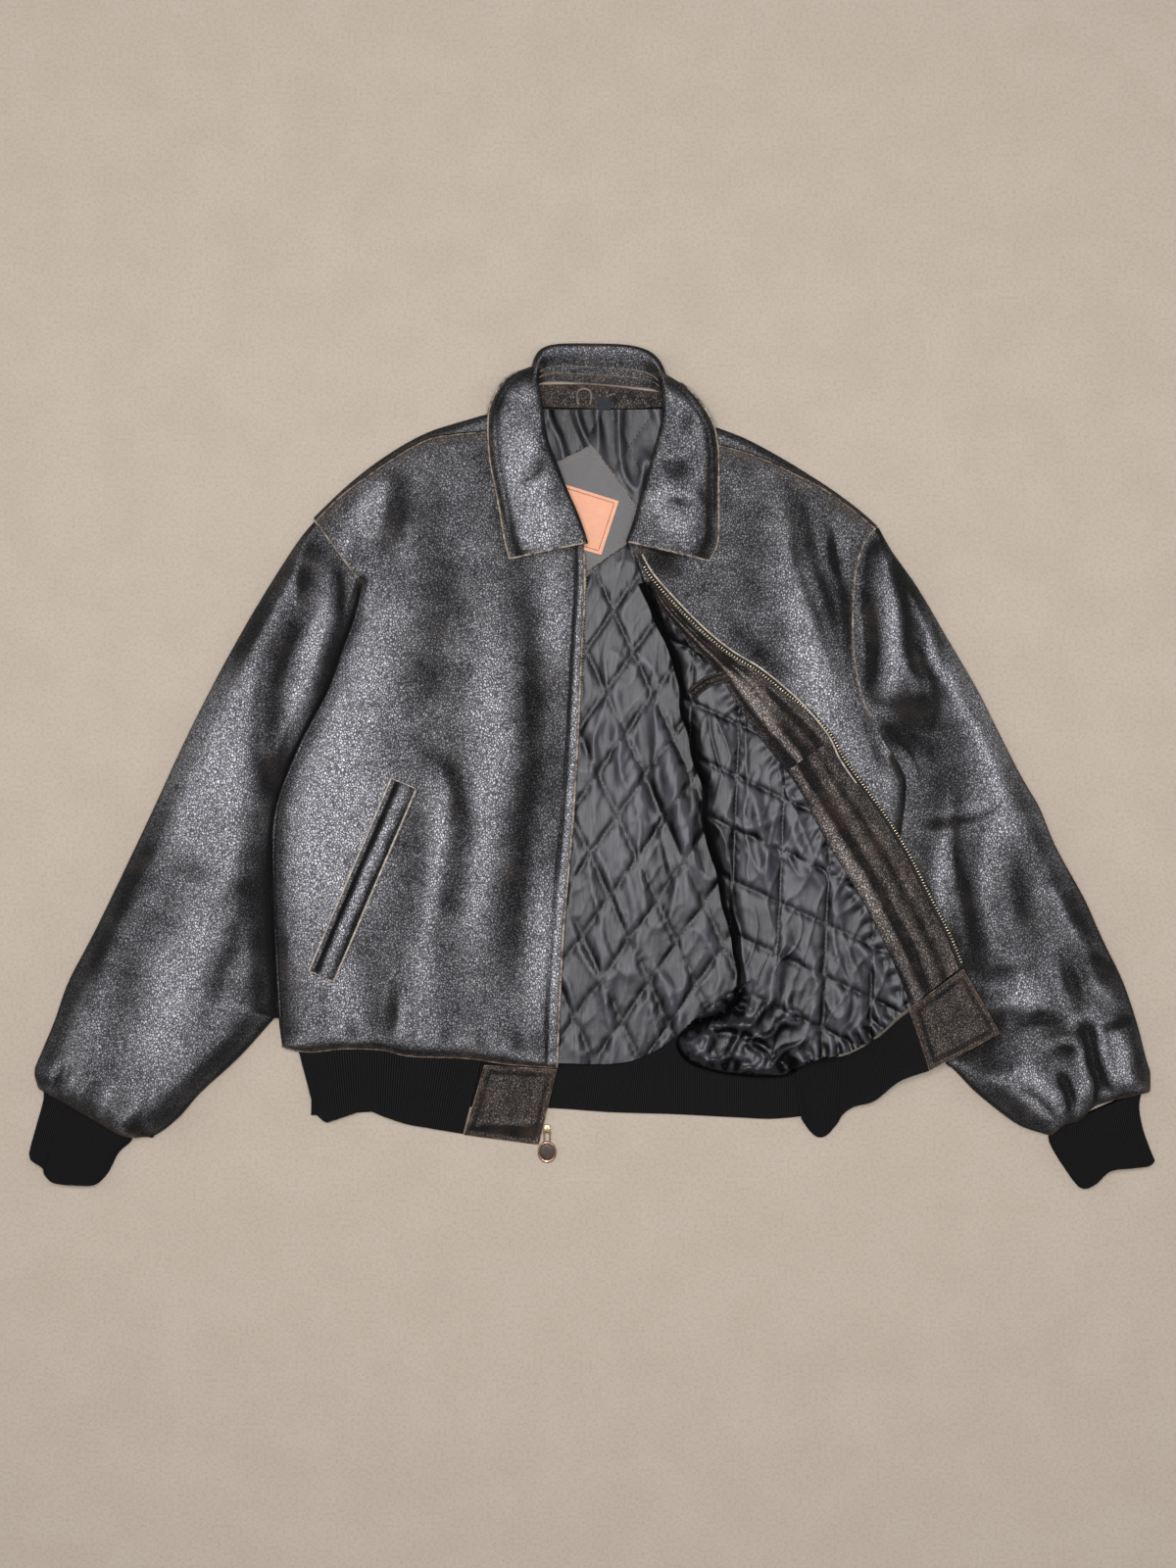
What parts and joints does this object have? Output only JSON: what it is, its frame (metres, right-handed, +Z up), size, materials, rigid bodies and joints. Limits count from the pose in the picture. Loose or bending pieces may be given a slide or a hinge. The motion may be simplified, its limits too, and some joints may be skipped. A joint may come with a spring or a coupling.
{
  "type": "leather jacket",
  "caption": "Worn black leather bomber jacket laid flat on its back, left front turned open over its quilted lining, with a turned-down collar, rib-knit hem and cuffs and a metal zip.",
  "frame": {"origin": "centre of the bounding box in plan, on the floor that the back lies on", "axes": "+Z up from the floor, +Y from the hem towards the collar, +X towards the wearer's left sleeve"},
  "size_m": [1.089, 0.8159, 0.0367],
  "materials": {
    "shell": "worn grained black leather with brown rub marks",
    "facing": "worn dark brown-black leather",
    "lining": "shiny quilted nylon",
    "knit": "matt black rib knit",
    "patch": "dull grey leather",
    "label": "tan leather",
    "woven": "woven satin",
    "brass": "antique brass"
  },
  "bodies": {
    "jacket": {"back_panel": "shell", "right_shoulder_strip": "shell", "left_shoulder_strip": "shell", "right_front": "shell", "left_front": "shell", "right_sleeve_top": "shell", "right_sleeve_under": "shell", "left_sleeve_top": "shell", "left_sleeve_under": "shell", "right_cuff": "knit", "left_cuff": "knit", "hem_rib_back": "knit", "hem_rib_right": "knit", "hem_rib_left": "knit", "right_hem_tab": "facing", "left_hem_tab": "facing", "left_lining": "lining", "back_lining": "lining", "left_facing_upper": "facing", "left_facing_lower": "facing", "inner_pocket_welt": "facing", "right_pocket_welt": "facing", "right_pocket_jet": "facing", "collar": "shell", "neck_facing": "facing", "hanger_loop": "facing", "size_label": "woven", "neck_patch": "patch", "neck_label": "label", "zip_left": "brass", "zip_right": "brass", "zip_slider": "brass"},
    "pull": {"zip_pull": "brass"}
  },
  "joints": [
    {"name": "pull_swing", "type": "hinge", "parent": "jacket", "child": "pull", "pos_m": [-0.0434, -0.3517, 0.0056], "axis": [-1, 0, 0], "range_deg": [0, 150]}
  ]
}
